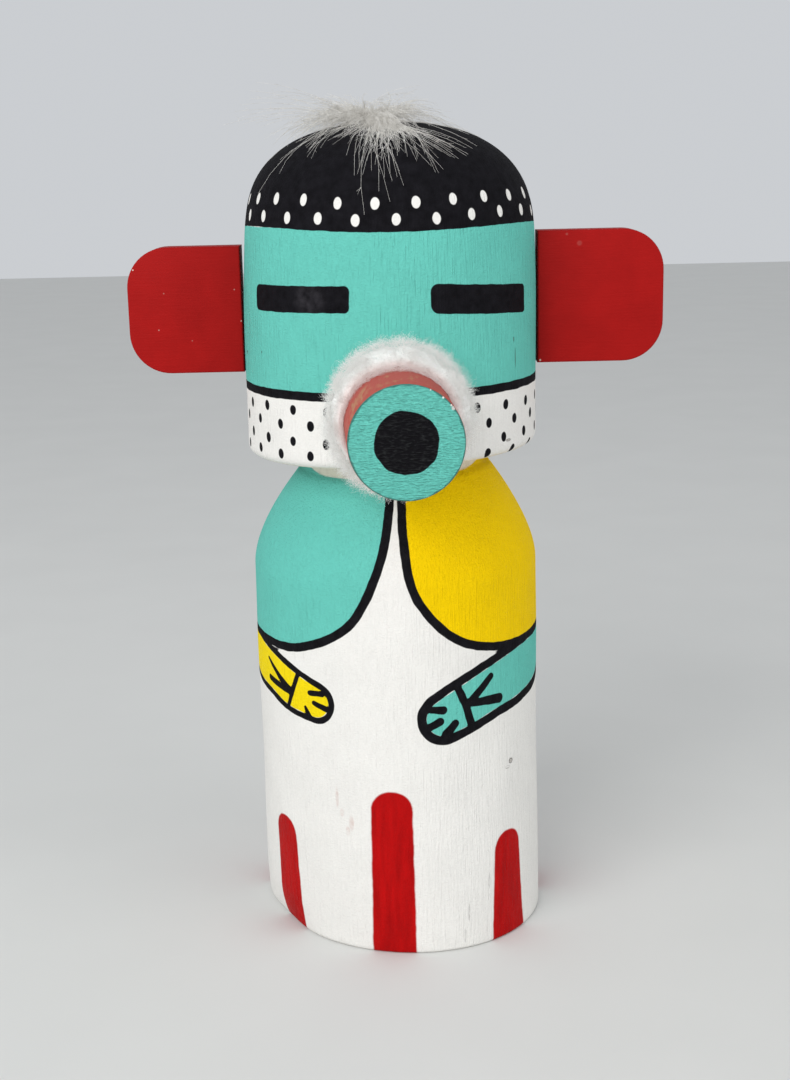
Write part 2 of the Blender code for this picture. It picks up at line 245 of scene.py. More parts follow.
# Small flaws in the paint: azimuth, height, half width and half height
PITS = ((48.8, 58.8, 0.9, 0.8), (54.5, 186.6, 0.22, 3.2), (53.5, 192.5, 0.3, 0.6),
        (-75.6, 188.5, 0.6, 0.5), (-11.4, 137.0, 0.35, 1.2), (-10.2, 134.6, 0.4, 0.5),
        (-58.0, 189.9, 0.3, 0.3), (49.8, 161.3, 1.1, 0.35))
RIDGES = ((46.6, 57.2, 0.9, 0.5), (35.2, 21.2, 0.35, 2.4), (24.1, 4.9, 0.35, 2.4),
          (26.0, 12.4, 0.25, 3.0))
SMEARS = ((-20.3, 43.4, 0.9, 2.6), (-22.0, 40.6, 0.8, 1.6), (-26.4, 51.4, 0.6, 3.6),
          (-24.4, 46.6, 0.7, 1.6))
# A paler patch on the left eye: partly worn paint, partly painted sheen
EYE_RUB_AND_SHEEN_PATCHES = ((-31.0, 206.4, 5.0, 5.0),)

# Half width of a painted edge's fade, in millimetres
CRISP_EDGE = 0.12
SNOUT_RIM_FADE = 0.15
STRIPE_FADE = 0.32
NECK_FADE = 0.35

# Paint and stuff colours, as sRGB hex
WHITE = "#E8E6E1"
TURQUOISE = "#68C4B6"
YELLOW = "#F6CE02"
LEMON = "#F7DC12"
BLACK = "#0E0D10"
# Greys laid on the black: partly scuffs and wear, partly painted sheen
BLACK_SCUFF_AND_SHEEN = "#1B1A1E"
EYE_RUB_AND_SHEEN_GREY = "#323034"
DISC_BLACK = "#151417"
RED = "#BC0D0E"
RED_DEEP = "#9A090B"
EAR_RED = "#9E1615"
CREAM = "#EEE6D6"
SMEAR = "#B98A7E"
SNOUT_PINK = "#B7584F"
BARE_WOOD = "#B89B72"
GRIME = "#6B5A48"
RIM_SHADE = "#26302E"
WOOL_WHITE = "#F2F3F0"
WOOL_SHADE = "#E2E2DE"
WOOL_PINK_STAIN_AND_BOUNCE = "#D79C94"
# Painted highlight on the snout end's grain ridges
RIDGE_PAINTED_HIGHLIGHT = "#C9D2CE"
DOWN_WHITE = "#E9E7E2"
DOWN_SHADE = "#BDB9B1"
STUDIO_GREY = "#D9D9D6"
LOW_SHINE = 0.05
# Strength of the fibres' painted glow, an emission standing in for scattered light
FIBRE_GLOW = 0.19

# Studio: each lamp's place and disc size in metres, and its power in watts
FLOOR_HALF = 3.0
SKY = (0.93, 0.96, 1.0, 1.0)
SKY_STRENGTH = 0.64
LAMPS = (("window", (-0.64, -1.10, 0.80), 1.2, 13.2), ("fill", (0.9, -0.6, 0.5), 0.8, 2.5))
LAMP_AIM = Vector((0.0, 0.0, 0.14))

# Camera, fitted to the photograph; its focal length is 1600 pixels of a 1080 pixel height
CAMERA_PLACE = (0.0, -0.510, 0.2479)
CAMERA_PITCH = math.radians(90.0 - 13.61)
CAMERA_ROLL = math.radians(-1.27)
SENSOR_HEIGHT = 36.0
FOCAL_SHARE = 1600.0 / 1080.0


def linear(hex_colour):
    """An sRGB hex value as linear RGBA."""
    channels = [int(hex_colour[i:i + 2], 16) / 255.0 for i in (1, 3, 5)]
    return [c / 12.92 if c <= 0.04045 else ((c + 0.055) / 1.055) ** 2.4 for c in channels] + [1.0]


def add(tree, kind, inputs=None, **settings):
    """Add a shader node with its settings; an input is a value, a socket or a node that feeds it."""
    node = tree.nodes.new("ShaderNode" + kind)
    for name, value in settings.items():
        setattr(node, name, value)
    for name, value in (inputs or {}).items():
        if isinstance(value, bpy.types.Node):
            value = value.outputs[0]
        if isinstance(value, bpy.types.NodeSocket):
            tree.links.new(value, node.inputs[name])
        else:
            node.inputs[name].default_value = value
    return node


def new_material(name):
    """An empty node material; returns it, its tree and the socket of its place on the doll."""
    material = bpy.data.materials.new(name)
    material.use_nodes = True
    tree = material.node_tree
    tree.nodes.clear()
    return material, tree, add(tree, "TexCoord").outputs["Object"]


def close_material(material, colour, rough, relief, strength, depth_mm, more=None):
    """End a material with a low shine and a relief of a real depth; returns it."""
    tree = material.node_tree
    bump = {"Height": relief, "Strength": strength, "Distance": depth_mm * MM}
    look = {"Base Color": colour, "Roughness": rough, "Specular IOR Level": LOW_SHINE,
            "Normal": add(tree, "Bump", bump), **(more or {})}
    add(tree, "OutputMaterial", {"Surface": add(tree, "BsdfPrincipled", look)})
    return material


def coats(tree, base, *laid):
    """Lay coats over a base colour; each coat is its colour and where it covers."""
    for colour, cover in laid:
        mix = add(tree, "Mix", {0: cover, 6: base, 7: colour}, data_type="RGBA")
        base = mix.outputs[2]
    return base


def weighted(tree, base, *parts):
    """Add patterns to a base; each part is its pattern and its weight."""
    for pattern, weight in parts:
        base = add(tree, "Math", {0: pattern, 1: weight, 2: base}, operation="MULTIPLY_ADD")
    return base


def inside_edge(tree, distance, wobble, softness):
    """One inside a painted shape, from its distance in millimetres, with a brushed edge."""
    moved = add(tree, "Math", {0: distance, 1: wobble}, operation="ADD")
    edge = {"Value": moved, "From Min": -softness, "From Max": softness}
    return add(tree, "MapRange", edge, interpolation_type="SMOOTHSTEP")


def spread(tree, vector, size_mm, detail, low, high, stretch=(1.0, 1.0, 1.0)):
    """Noise whose blotches have a real size, spread between two values."""
    scale = [1.0 / (size_mm * MM * part) for part in stretch]
    placed = add(tree, "Mapping", {"Vector": vector, "Scale": scale})
    cloud = add(tree, "TexNoise", {"Vector": placed, "Scale": 1.0, "Detail": detail})
    reach = {"Value": cloud, "From Min": 0.25, "From Max": 0.75}
    return add(tree, "MapRange", {**reach, "To Min": low, "To Max": high})


def finish_piece(piece, slot, *nodes):
    """Let a piece ride on the doll and stand for its CAD nodes."""
    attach(piece, "root")
    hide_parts(*nodes)


def link_object(name, data):
    """Put a new object at the origin of the scene."""
    holder = bpy.data.objects.new(name, data)
    bpy.context.collection.objects.link(holder)
    return holder


def round_edges(bm, edges, width, segments):
    """Round some edges of a bmesh evenly."""
    bmesh.ops.bevel(bm, geom=edges, offset=width, offset_type="OFFSET", segments=segments,
                    profile=0.5, affect="EDGES", material=-1)


def object_from(bm, name, material, sharp_deg=35.0):
    """Make a shaded object at the origin from a bmesh."""
    bmesh.ops.recalc_face_normals(bm, faces=bm.faces)
    mesh = bpy.data.meshes.new(name)
    bm.to_mesh(mesh)
    bm.free()
    mesh.shade_smooth()
    mesh.set_sharp_from_angle(angle=math.radians(sharp_deg))
    mesh.materials.append(material)
    return link_object(name, mesh)


# The log's shape


def steps_between(start, end, spacing):
    """Evenly spaced values from start up to, but without, end."""
    count = max(1, round(abs(end - start) / spacing))
    return [start + (end - start) * step / count for step in range(count)]


def edge_arc(centre_r, centre_z, radius, start_deg, end_deg, count):
    """Points (r, z) on a rounded edge of the profile."""
    angles = [math.radians(start_deg + (end_deg - start_deg) * step / count) for step in range(count)]
    return [(centre_r + radius * math.cos(a), centre_z + radius * math.sin(a)) for a in angles]


def crown_profile(count):
    """Points (r, z) over the crown, from its rim to its middle."""
    points = []
    for step in range(count + 1):
        turn = 0.5 * math.pi * step / count
        across = max(math.cos(turn), 0.0) ** (2.0 / CROWN_POWER)
        rise = math.sin(turn) ** (2.0 / CROWN_POWER)
        points.append((HEAD_RADIUS * across, CROWN_BOTTOM + CROWN_HEIGHT * rise))
    return points


def log_profile():
    """The log's fine profile, with close rows where small marks are painted."""
    points = [(0.0, 0.0)]
    points += [(r, 0.0) for r in steps_between(8.0, BODY_RADIUS - FOOT_EDGE, 9.0)]
    points += edge_arc(BODY_RADIUS - FOOT_EDGE, FOOT_EDGE, FOOT_EDGE, -90.0, 0.0, 4)
    for low, high, spacing in SIDE_ROWS:
        points += [(BODY_RADIUS, z) for z in steps_between(low, high, spacing)]
    for t in steps_between(0.0, 1.0, 0.026):
        radius = (1.0 - t * t) * BODY_RADIUS + t * t * (NECK_RADIUS + NECK_SHELF)
        height = 2.0 * t * (1.0 - t) * SHOULDER_FULLNESS + t * t * SHOULDER_HEIGHT
        points.append((radius, SIDE_HEIGHT + height))
    points.append((NECK_RADIUS + NECK_SHELF, SHOULDER_TOP))
    points += [(NECK_RADIUS + 0.7, SHOULDER_TOP + 0.4), (NECK_RADIUS, SHOULDER_TOP + 1.2)]
    points += [(NECK_RADIUS, z) for z in steps_between(SHOULDER_TOP + 2.0, HEAD_BOTTOM + 1.0, 1.4)]
    jaw_r = HEAD_RADIUS - JAW_EDGE
    for step in range(5):
        t = step / 5.0
        points.append((NECK_RADIUS + (jaw_r - NECK_RADIUS) * t, HEAD_BOTTOM + JAW_UNDERCUT * (1.0 - t)))
    points += edge_arc(jaw_r, HEAD_BOTTOM + JAW_EDGE, JAW_EDGE, -90.0, 0.0, 7)
    for low, high, spacing in HEAD_ROWS:
        points += [(HEAD_RADIUS, z) for z in steps_between(low, high, spacing)]
    points += crown_profile(40)[:-1]
    return points + [(0.0, CROWN_TOP)]


def carve_by_hand(x, y, z):
    """Move points of the turned log to where the carver left them, in millimetres."""
    azimuth = np.arctan2(x, -y)
    change = FOOT_OVAL * np.sin(2.0 * azimuth) * np.clip(1.0 - z / FOOT_OVAL_FADE, 0.0, None)
    off_corner = (np.degrees(azimuth) - WORN_CORNER_AZIMUTH) / WORN_CORNER_SPREAD
    rim = np.clip(1.0 - z / WORN_CORNER_RISE, 0.0, None) ** 2
    change = change - WORN_CORNER_DEPTH * np.exp(-off_corner ** 2) * rim
    scale = 1.0 + change / BODY_RADIUS
    x, y = x * scale, y * scale
    off_neck = (z - HEAD_BOTTOM) / NECK_CUT_REACH
    off_crown = (z - CROWN_DRAW_IN_LEVEL) / CROWN_DRAW_IN_REACH
    draw_in = CROWN_DRAW_IN * (1.0 - CROWN_DRAW_IN_LEAN * np.sin(azimuth)) * np.exp(-off_crown ** 2)
    scale = 1.0 - draw_in / HEAD_RADIUS
    return x * scale, y * scale, z + NECK_CUT_TILT * x * np.exp(-off_neck ** 2)


# Painted shapes: each gives distances in millimetres, positive inside


def smooth_line(knots, per_span=36):
    """A smooth line through its knots, as an array of points."""
    knots = np.array(knots, float)
    padded = np.vstack([2 * knots[0] - knots[1], knots, 2 * knots[-1] - knots[-2]])
    points = []
    for a, b, c, d in zip(padded[:-3], padded[1:-2], padded[2:-1], padded[3:]):
        for t in np.arange(per_span) / per_span:
            points.append(0.5 * (2 * b + (c - a) * t + (2 * a - 5 * b + 4 * c - d) * t * t
                                 + (3 * b - a - 3 * c + d) * t ** 3))
    return np.vstack([points, knots[-1]])


def on_log(azimuth, height, radius):
    """Lay azimuths and heights out flat, as millimetres along and up."""
    return np.radians(azimuth) * radius, height


def stroke(azimuth, height, radius, start, end, half, taper):
    """Distance inside a straight brush stroke that thins towards its end by a share."""
    px, pz = on_log(azimuth - start[0], height - start[1], radius)
    vx, vz = on_log(end[0] - start[0], end[1] - start[1], BODY_RADIUS)
    t = np.clip((px * vx + pz * vz) / (vx * vx + vz * vz), 0.0, 1.0)
    return half * (1.0 - taper * t) - np.hypot(px - t * vx, pz - t * vz)


def inside_rounded(over_x, over_z, rounding):
    """Distance inside a shape with round corners, from how far a point is past them."""
    outside = np.hypot(np.clip(over_x, 0.0, None), np.clip(over_z, 0.0, None))
    return rounding - outside - np.minimum(np.maximum(over_x, over_z), 0.0)


def eye_bar(azimuth, height, bar):
    """Distance inside a rounded eye bar, which may slope."""
    (a0, z0), (a1, z1), half, round_start, round_end = bar
    rounding = np.where(azimuth < (a0 + a1) / 2.0, round_start, round_end)
    middle = z0 + (z1 - z0) * (azimuth - a0) / (a1 - a0)
    along = np.abs(np.radians(azimuth - (a0 + a1) / 2.0)) * HEAD_RADIUS
    over_x = along - math.radians(a1 - a0) / 2.0 * HEAD_RADIUS + rounding
    return inside_rounded(over_x, np.abs(height - middle) - half + rounding, rounding)


def cape(azimuth, height, radius, knots, side):
    """Distance inside a shoulder cape; its back half mirrors its front half."""
    turn = np.where(azimuth * side > 90.0, side * 180.0 - azimuth, azimuth)
    line = smooth_line(knots)
    best = np.full(azimuth.shape, 1e9)
    for a, z in line:
        along, up = on_log(turn - a, height - z, radius)
        best = np.minimum(best, np.hypot(along, up))
    edge = np.interp(turn * side, line[:, 0] * side, line[:, 1])
    steep = np.interp(height, line[::-1, 1], line[::-1, 0] * side)
    inside = (turn * side > steep) & (height > np.minimum(edge, CAPE_TOP)) & (turn * side > 0.0)
    return np.where(inside, best, -best)


def arm(azimuth, height, radius, knots):
    """Distance inside an arm: a row of shrinking discs from shoulder to fingertips."""
    best = np.full(azimuth.shape, -1e9)
    for a, z, r in smooth_line(knots, 10):
        along, up = on_log(azimuth - a, height - z, radius)
        best = np.maximum(best, r - np.hypot(along, up))
    return best


def stripe(azimuth, height, radius, place):
    """Distance inside an upright stripe with a round top; it widens towards the foot."""
    middle, top, half_top, half_foot = place
    turn = (azimuth - middle + 180.0) % 360.0 - 180.0
    half = half_foot + (half_top - half_foot) * np.clip(height / top, 0.0, 1.0)
    along = np.abs(np.radians(turn)) * radius
    round_top = 0.95 * half
    return inside_rounded(along - half + round_top, height - top + round_top, round_top)


def paint_distances(x, y, z):
    """Distance into each paint at every point of the log."""
    azimuth = np.degrees(np.arctan2(x, -y))
    radius = np.clip(np.hypot(x, y), 12.0, None)
    spot = (azimuth, z, radius)
    neck_edge = NECK_PAINT_EDGE + NECK_PAINT_RISE * np.sin(np.radians(azimuth)) ** 12
    on_body = neck_edge + NECK_CUT_TILT * x - z
    cape_left = cape(*spot, CAPE_LEFT, -1.0)
    cape_right = cape(*spot, CAPE_RIGHT, 1.0)
    arm_left = np.where(cape_left > 0.0, UNDER_CAPE, arm(*spot, ARM_LEFT))
    arm_right = np.where(cape_right > 0.0, UNDER_CAPE, arm(*spot, ARM_RIGHT))
    ink = CAPE_LINE_HALF - np.minimum(np.abs(cape_left), np.abs(cape_right))
    for limb, line in ((arm_left, ARM_LINE_LEFT), (arm_right, ARM_LINE_RIGHT)):
        ink = np.maximum(ink, line / 2.0 - np.abs(limb + line / 2.0))
    for start, end, half, taper in MARKS_LEFT + MARKS_RIGHT:
        ink = np.maximum(ink, stroke(*spot, start, end, half, taper))
    ink = np.minimum(ink, on_body)
    mouth = MOUTH_LINE + MOUTH_TILT * np.sin(np.radians(azimuth))
    ink = np.maximum(ink, MOUTH_LINE_HALF - np.abs(z - mouth))
    for bar in (EYE_LEFT, EYE_RIGHT):
        ink = np.maximum(ink, eye_bar(azimuth, z, bar))
    bow = CAP_BOW * np.cos(np.radians(3.0 * azimuth)) + CAP_TILT * np.sin(np.radians(azimuth))
    ink = np.maximum(ink, z + bow - CAP_EDGE)
    stripes = [stripe(*spot, place) for place in STRIPES]
    face = np.minimum(z - mouth, CAP_EDGE + FACE_UNDER_CAP - z)
    turquoise = np.max([np.minimum(cape_left, on_body), arm_right, face], axis=0)
    yellow = np.maximum(np.minimum(cape_right, on_body), arm_left)
    neck = np.minimum(-on_body, HEAD_BOTTOM + NECK_UNDER_HEAD + NECK_CUT_TILT * x - z)
    return {"ink": ink, "turquoise": turquoise, "yellow": yellow,
            "red": np.max(stripes, axis=0), "neck": neck}


def dot_row(tree, azimuth, height, start, level, half):
    """Distance inside a row of hand-dabbed oval dots round the log, in millimetres."""
    pitch = math.radians(DOT_STEP) * HEAD_RADIUS
    cell = weighted(tree, 0.5 - start / DOT_STEP, (azimuth, 1.0 / DOT_STEP))
    number = add(tree, "Math", {0: cell}, operation="FLOOR")
    along = add(tree, "Math", {0: cell, 1: number}, operation="SUBTRACT")
    seed = add(tree, "Math", {0: number, 1: level}, operation="ADD")
    chance = add(tree, "TexWhiteNoise", {"W": seed}, noise_dimensions="1D").outputs["Color"]
    place = add(tree, "CombineXYZ", {0: along, 1: height})
    size = (pitch / half[0], 1.0 / half[1], 0.0)
    middle = (-0.5 * size[0] - DOT_STRAY / 2.0, -level * size[1] - DOT_STRAY / 2.0, 0.0)
    place = add(tree, "VectorMath", {0: place, 1: size, 2: middle}, operation="MULTIPLY_ADD")
    moved = {0: chance, 1: (DOT_STRAY, DOT_STRAY, 0.0), 2: place}
    place = add(tree, "VectorMath", moved, operation="MULTIPLY_ADD")
    out = add(tree, "VectorMath", {0: place}, operation="LENGTH").outputs["Value"]
    return weighted(tree, half[0], (out, -half[0]))


def on_surface(azimuth, height):
    """A place on the carved log, in metres."""
    turn = math.radians(azimuth)
    radius = max(r for r, z in log_profile() if abs(z - height) < 1.5)
    place = carve_by_hand(radius * math.sin(turn), -radius * math.cos(turn), height)
    return [float(part) * MM for part in place]


def mark_at(tree, where, place, half):
    """One inside a small oval mark, fading at its edge; half sizes in millimetres."""
    off = add(tree, "VectorMath", {0: where, 1: place}, operation="SUBTRACT")
    size = [1.0 / (reach * MM) for reach in half]
    off = add(tree, "VectorMath", {0: off, 1: size}, operation="MULTIPLY")
    out = add(tree, "VectorMath", {0: off}, operation="LENGTH").outputs["Value"]
    fade = {"Value": out, "From Min": 1.3, "From Max": 0.6}
    return add(tree, "MapRange", fade, interpolation_type="SMOOTHSTEP")


def marks(tree, where, places):
    """All marks of one kind together: each place is (azimuth, height, half width, half height)."""
    found = 0.0
    for azimuth, height, wide, high in places:
        one = mark_at(tree, where, on_surface(azimuth, height), (wide, wide, high))
        found = add(tree, "Math", {0: found, 1: one}, operation="MAXIMUM")
    return found


def dotted(tree, where, ink, wobble):
    """Cut the white dots out of the black cap and add the black dots of the white band."""
    axes = add(tree, "SeparateXYZ", {0: where}).outputs
    back = add(tree, "Math", {0: axes[1], 1: -1.0}, operation="MULTIPLY")
    turn = add(tree, "Math", {0: axes[0], 1: back}, operation="ARCTAN2")
    azimuth = add(tree, "Math", {0: turn}, operation="DEGREES")
    height = add(tree, "Math", {0: axes[2], 1: 1.0 / MM}, operation="MULTIPLY")
    bow = add(tree, "Math", {0: turn, 1: 3.0}, operation="MULTIPLY")
    bow = add(tree, "Math", {0: bow}, operation="COSINE")
    bowed = weighted(tree, height, (bow, CAP_BOW))
    for start, level in CAP_ROWS:
        row = dot_row(tree, azimuth, bowed, start, level, CAP_DOT_HALF)
        row = inside_edge(tree, row, wobble, CRISP_EDGE)
        ink = add(tree, "Math", {0: ink, 1: row}, operation="SUBTRACT", use_clamp=True)
    sag = add(tree, "Math", {0: turn}, operation="SINE")
    sag = add(tree, "Math", {0: sag, 1: sag}, operation="MULTIPLY")
    sagged = weighted(tree, height, (sag, BAND_SAG_RIGHT))
    for left, right, level, clear_right in BAND_ROWS:
        sides = ((left, -1.0, BAND_CLEAR_LEFT, height), (right, 1.0, clear_right, sagged))
        for start, side, clear, band in sides:
            row = dot_row(tree, azimuth, band, start, level, BAND_DOT_HALF)
            past = weighted(tree, -clear, (azimuth, side))
            row = add(tree, "Math", {0: row, 1: past}, operation="MINIMUM")
            row = inside_edge(tree, row, wobble, CRISP_EDGE)
            ink = add(tree, "Math", {0: ink, 1: row}, operation="MAXIMUM")
    return ink


def make_log_material():
    """Acrylic craft paint brushed on carved cottonwood root.

    The paint is flat and chalky over fine upright tool marks; the red stripes
    dried with a slight gloss. The neck is soiled. The black is greyer in patches, partly
    scuffs and partly a painted sheen, and the left eye has a paler patch, worn and painted sheen.
    """
    material, tree, where = new_material("acrylic paint on cottonwood")
    # Real tool marks and brush hairs are about 0.1 mm apart, and are drawn coarser to show
    grain = spread(tree, where, 0.6, 3.0, -1.0, 1.0, (1.0, 1.0, 14.0))
    hairs = spread(tree, where, 0.30, 2.0, -1.0, 1.0, (1.0, 1.0, 22.0))
    weave = spread(tree, where, 0.55, 3.0, -1.0, 1.0, (1.6, 1.6, 0.8))
    blotch = spread(tree, where, 13.0, 3.0, -1.0, 1.0)
    soil_and_sheen = spread(tree, where, 2.5, 4.0, 0.0, 1.0)
    wobble = spread(tree, where, 4.0, 1.5, -0.13, 0.13)

    def into(name, softness):
        distance = add(tree, "Attribute", attribute_name=name).outputs["Fac"]
        return inside_edge(tree, distance, wobble, softness)

    red, neck, ink = into("red", STRIPE_FADE), into("neck", NECK_FADE), into("ink", CRISP_EDGE)
    turquoise, yellow = into("turquoise", CRISP_EDGE), into("yellow", CRISP_EDGE)
    ink = dotted(tree, where, ink, wobble)
    pits, ridges = marks(tree, where, PITS), marks(tree, where, RIDGES)
    brushed = spread(tree, where, 2.2, 3.0, 0.0, 0.9, (1.0, 1.0, 7.0))
    stripes = coats(tree, linear(RED), (linear(RED_DEEP), brushed))
    # The yellow on the -X side has more lemon in it
    x = add(tree, "SeparateXYZ", {0: where})
    lemon = add(tree, "Math", {0: x, 1: 0.0}, operation="LESS_THAN")
    yellows = coats(tree, linear(YELLOW), (linear(LEMON), lemon))
    soiled = add(tree, "Math", {0: soil_and_sheen, 1: 3.0}, operation="POWER")
    cream = coats(tree, linear(CREAM), (linear(GRIME), weighted(tree, 0.0, (soiled, 0.40))))
    faint = weighted(tree, 0.0, (marks(tree, where, SMEARS), soil_and_sheen))
    # The left eye's paler patch: partly worn paint, partly painted sheen
    rub_and_sheen = weighted(tree, 0.0, (marks(tree, where, EYE_RUB_AND_SHEEN_PATCHES), soil_and_sheen))
    # The black greys in patches: partly scuffs, partly painted sheen
    black = coats(tree, linear(BLACK), (linear(BLACK_SCUFF_AND_SHEEN), soil_and_sheen), (linear(EYE_RUB_AND_SHEEN_GREY), rub_and_sheen))
    colour = coats(
        tree, linear(WHITE), (stripes, red), (linear(TURQUOISE), turquoise), (yellows, yellow),
        (cream, neck), (linear(SMEAR), weighted(tree, 0.0, (faint, 0.5))), (black, ink),
        (linear(GRIME), weighted(tree, 0.0, (pits, 0.45))))
    shade = weighted(tree, 1.0, (blotch, 0.03), (grain, 0.016), (weave, 0.030))
    colour = add(tree, "VectorMath", {0: colour, 1: shade}, operation="MULTIPLY")
    rough = weighted(tree, 0.66, (red, -0.20), (ink, 0.10))
    thick = add(tree, "Math", {0: turquoise, 1: yellow}, operation="MAXIMUM")
    thick = weighted(tree, 0.55, (thick, 0.45))
    relief = weighted(tree, grain, (hairs, 0.4), (weave, 0.6))
    relief = add(tree, "Math", {0: relief, 1: thick}, operation="MULTIPLY")
    relief = weighted(tree, relief, (pits, -7.0), (ridges, 2.2))
    return close_material(material, colour, rough, relief, 0.9, 0.18)


def make_log():
    """Body, neck and head: the profile spun, carved out of true and painted."""
    bm = bmesh.new()
    verts = [bm.verts.new((0.0, -r * MM, z * MM)) for r, z in log_profile()]
    edges = [bm.edges.new(pair) for pair in zip(verts[:-1], verts[1:])]
    bmesh.ops.spin(bm, geom=verts + edges, cent=(0, 0, 0), axis=(0, 0, 1), angle=2.0 * math.pi,
                   steps=LOG_COLUMNS, use_merge=True)
    bmesh.ops.remove_doubles(bm, verts=bm.verts, dist=1e-6)
    piece = object_from(bm, "painted_log", make_log_material(), LOG_SHARP)
    mesh = piece.data
    flat = np.empty(len(mesh.vertices) * 3)
    mesh.vertices.foreach_get("co", flat)
    x, y, z = flat.reshape(-1, 3).T / MM
    turn, radius = np.arctan2(x, -y), np.hypot(x, y)
    turn = turn - COLUMN_CROWDING * np.sin(turn)
    x, y, z = carve_by_hand(radius * np.sin(turn), -radius * np.cos(turn), z)
    for name, values in paint_distances(x, y, z).items():
        values = np.clip(values, -PAINT_REACH, PAINT_REACH).astype(np.float32)
        mesh.attributes.new(name, "FLOAT", "POINT").data.foreach_set("value", values)
    radius = np.hypot(x, y)
    spots = zip(x, y, z / KNIFE_WAVE_STRETCH)
    waves = [noise.noise(Vector(spot) / KNIFE_WAVE_LENGTH) for spot in spots]
    edge = np.clip(z / KNIFE_WAVE_START, 0.0, 1.0)
    scale = 1.0 + KNIFE_WAVE * np.array(waves) * edge / np.clip(radius, KNIFE_WAVE_CLEAR, None)
    mesh.vertices.foreach_set("co", (np.stack([x * scale, y * scale, z], 1) * MM).ravel())
    mesh.update()
    finish_piece(piece, "painted_log", "figure")


def make_ear_material():
    """Red acrylic over a sawn pine board, its grain running out from the head."""
    material, tree, where = new_material("red acrylic on pine board")
    # Grain lines stand 0.6 mm apart, and the paint clouds in patches of about 9 mm
    grain = spread(tree, where, 0.6, 3.0, -1.0, 1.0, (18.0, 1.0, 1.0))
    blotch = spread(tree, where, 9.0, 3.0, 0.90, 1.06)
    clouded = {0: linear(EAR_RED)[:3], 1: blotch}
    colour = add(tree, "VectorMath", clouded, operation="MULTIPLY")
    for node, across, up, half, plain in EAR_SPECKS:
        low, high = (Vector(corner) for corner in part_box(node))
        place = low + (high - low) * Vector((across, 0.0, up))
        speck = mark_at(tree, where, place, (half, half, half))
        colour = coats(tree, colour, (linear(CREAM), weighted(tree, 0.0, (speck, plain))))
    return close_material(material, colour, 0.5, grain, 0.5, 0.06)


def make_ear(name, node, side, material):
    """One ear board, sawn with rounded outer corners and eased edges."""
    low, high = (Vector(corner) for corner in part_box(node))
    size = high - low
    bm = bmesh.new()
    bmesh.ops.create_cube(bm, size=1.0, matrix=Matrix.Diagonal((*size, 1.0)))
    outer = [edge for edge in bm.edges if all(vert.co.x * side > 0.0 for vert in edge.verts)
             and abs(edge.verts[0].co.y - edge.verts[1].co.y) > size.y / 2.0]
    round_edges(bm, outer, EAR_CORNER * MM, 14)
    rim = [edge for edge in bm.edges
           if abs(abs(edge.link_faces[0].normal.y) - abs(edge.link_faces[1].normal.y)) > 0.5]
    round_edges(bm, rim, EAR_EDGE * MM, 3)
    bmesh.ops.translate(bm, verts=bm.verts, vec=(high + low) / 2.0)
    piece = object_from(bm, name, material)
    finish_piece(piece, "ear_paint", node)


def snout_axis_x(y):
    """Where the snout's centre line is across the face, at a depth y in millimetres."""
    return SNOUT_SIDE_SHIFT - y * SNOUT_TURN


def face_y(x, gap):
    """Depth of the face's round surface moved out by a gap, in millimetres."""
    radius = HEAD_RADIUS + gap
    return -math.sqrt(max(radius * radius - x * x, 0.0))


def on_snout(turn, depth, radius):
    """A place round the snout's centre line, in millimetres, from a turn and a depth."""
    across = snout_axis_x(depth) + radius * math.cos(turn)
    return Vector((across, depth, SNOUT_LEVEL + radius * math.sin(turn)))


def from_snout_line(tree, where, depth):
    """Distance in millimetres from the snout's centre line, taken at one depth."""
    off = {0: where, 1: (-snout_axis_x(depth) * MM, 0.0, -SNOUT_LEVEL * MM)}
    flat = add(tree, "VectorMath", off, operation="ADD")
    flat = add(tree, "VectorMath", {0: flat, 1: (1.0 / MM, 0.0, 1.0 / MM)}, operation="MULTIPLY")
    return add(tree, "VectorMath", {0: flat}, operation="LENGTH").outputs["Value"]


def make_snout_end_material():
    """Turquoise brushed on ridged end grain, a black disc, a rim chipped to white and painted light."""
    front = -(HEAD_RADIUS + SNOUT_LENGTH)
    material, tree, where = new_material("acrylic on end grain")
    wobble = spread(tree, where, 3.5, 1.0, -0.3, 0.3)
    # Ridges of end grain are 0.4 mm apart, and about four times as long
    ridge = spread(tree, where, 0.40, 3.0, -1.0, 1.0, (3.8, 1.0, 1.0))
    out = from_snout_line(tree, where, front)
    inward = add(tree, "Math", {0: SNOUT_DISC_RADIUS, 1: out}, operation="SUBTRACT")
    rim = add(tree, "Math", {0: out, 1: SNOUT_RADIUS - SNOUT_RIM_WIDTH}, operation="SUBTRACT")
    disc = inside_edge(tree, inward, wobble, CRISP_EDGE)
    rim = inside_edge(tree, rim, wobble, SNOUT_RIM_FADE)
    rim = weighted(tree, 0.0, (rim, 0.6))
    colour = coats(tree, linear(TURQUOISE), (linear(DISC_BLACK), disc), (linear(RIM_SHADE), rim))
    for angle, half in SNOUT_CHIPS:
        place = on_snout(math.radians(angle), front, SNOUT_RADIUS - SNOUT_CHIP_INSET) * MM
        colour = coats(tree, colour, (linear(WHITE), mark_at(tree, where, place, (half, 1.0, half))))
    # Painted highlight along the ridges, on the turquoise and the black disc alike
    light = add(tree, "MapRange", {"Value": ridge, "To Max": 0.035})
    colour = coats(tree, colour, (linear(RIDGE_PAINTED_HIGHLIGHT), light))
    # Painted light and shade: the whole end is made about a quarter lighter, and lighter and darker
    # along the ridges
    shade = weighted(tree, 1.26, (ridge, 0.19))
    colour = add(tree, "VectorMath", {0: colour, 1: shade}, operation="MULTIPLY")
    return close_material(material, colour, 0.6, ridge, 1.0, 0.6)


